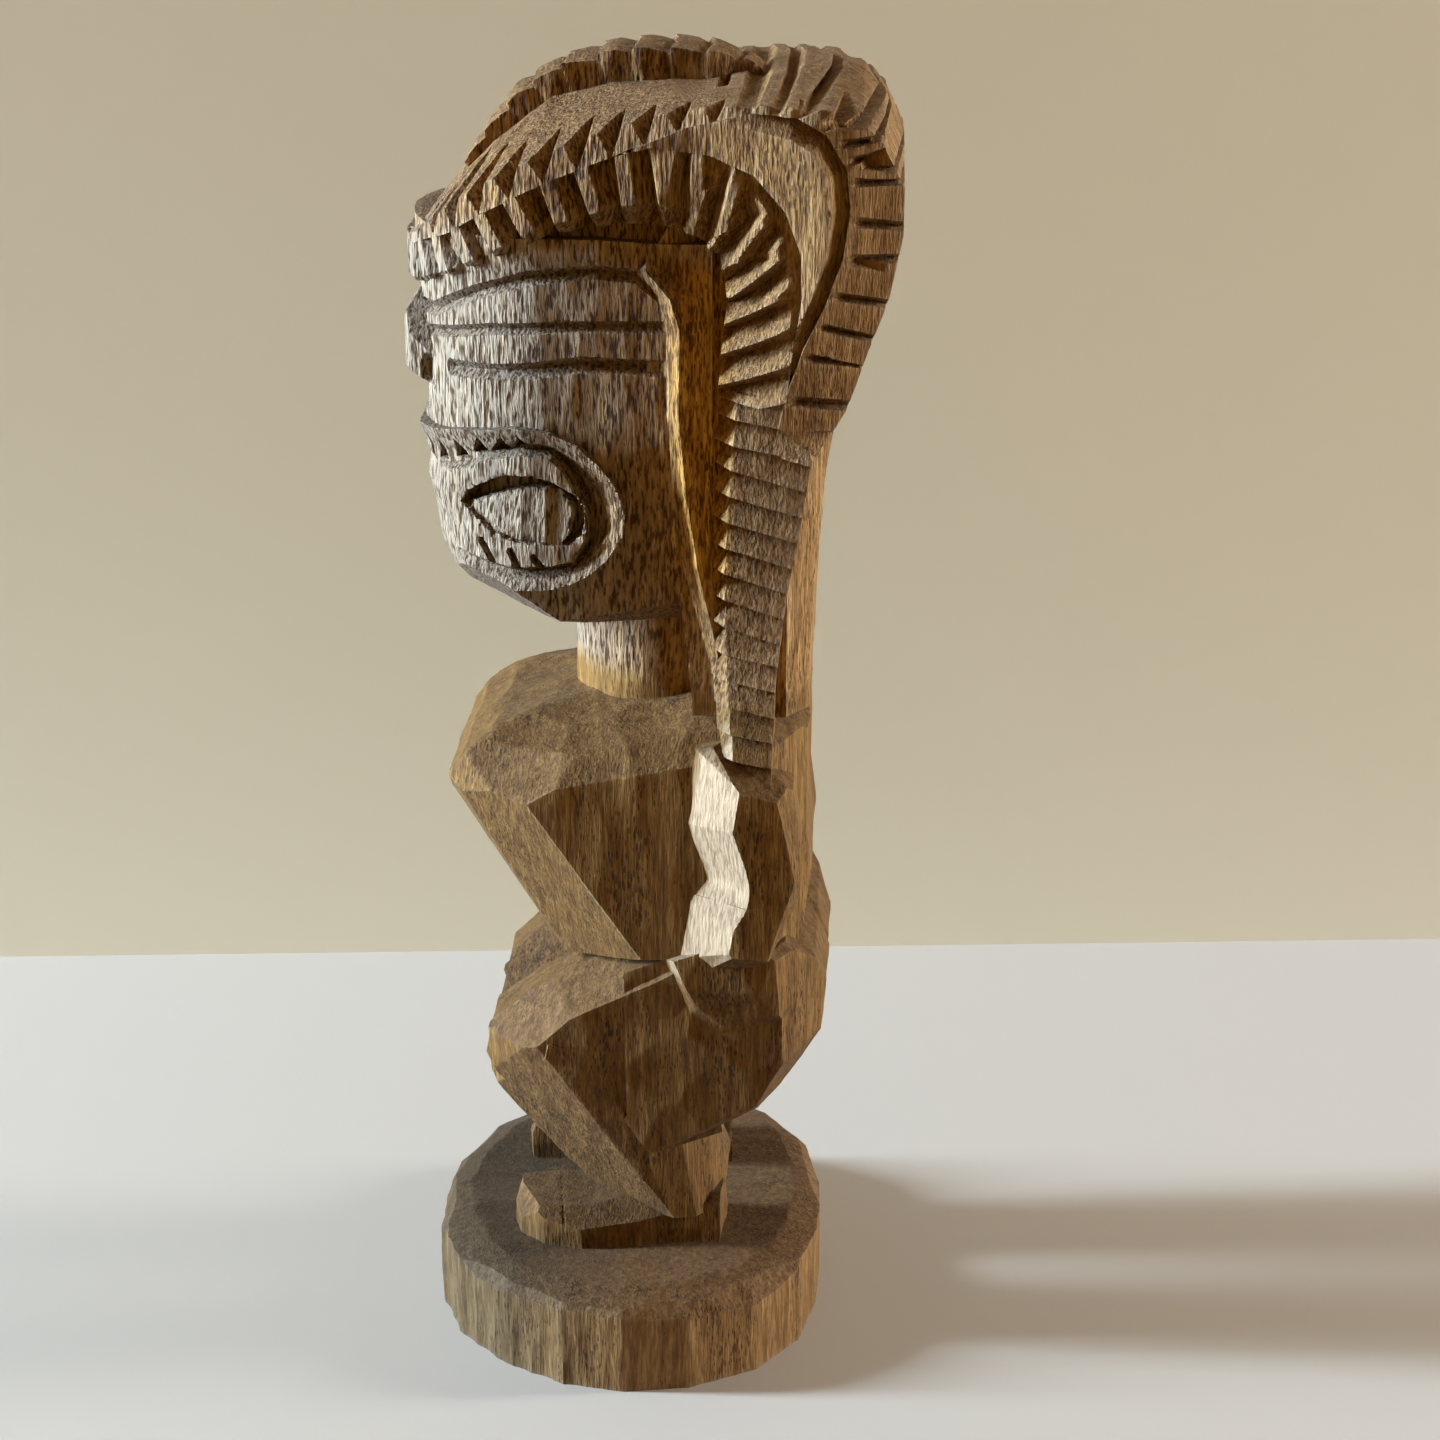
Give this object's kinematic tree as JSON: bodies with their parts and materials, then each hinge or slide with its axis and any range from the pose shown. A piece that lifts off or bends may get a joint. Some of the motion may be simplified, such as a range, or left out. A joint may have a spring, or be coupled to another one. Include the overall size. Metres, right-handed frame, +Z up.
{
  "type": "carved wooden figure",
  "caption": "Carved wooden crouching figure with a notched headdress, hands at its hips, standing on an oval plinth.",
  "frame": {"origin": "centre of the overall box, at the underside of the plinth", "axes": "+Z up, the figure looks along -Y, its left hand is on +X"},
  "size_m": [0.098, 0.1, 0.28],
  "materials": {
    "carved_wood": "knife-cut wood, matte"
  },
  "bodies": {
    "root": {"plinth": "carved_wood", "hips": "carved_wood", "torso": "carved_wood", "neck": "carved_wood", "head": "carved_wood", "nose": "carved_wood", "mouth_ring": "carved_wood", "headdress_core": "carved_wood", "centre_crest": "carved_wood", "left_foot": "carved_wood", "right_foot": "carved_wood", "left_lower_leg": "carved_wood", "right_lower_leg": "carved_wood", "left_thigh": "carved_wood", "right_thigh": "carved_wood", "left_upper_arm": "carved_wood", "right_upper_arm": "carved_wood", "left_forearm": "carved_wood", "right_forearm": "carved_wood", "left_plait": "carved_wood", "right_plait": "carved_wood", "left_outer_crest": "carved_wood", "right_outer_crest": "carved_wood", "left_inner_crest": "carved_wood", "right_inner_crest": "carved_wood", "left_crest_panel": "carved_wood", "right_crest_panel": "carved_wood", "left_side_lock": "carved_wood", "right_side_lock": "carved_wood"}
  },
  "joints": []
}
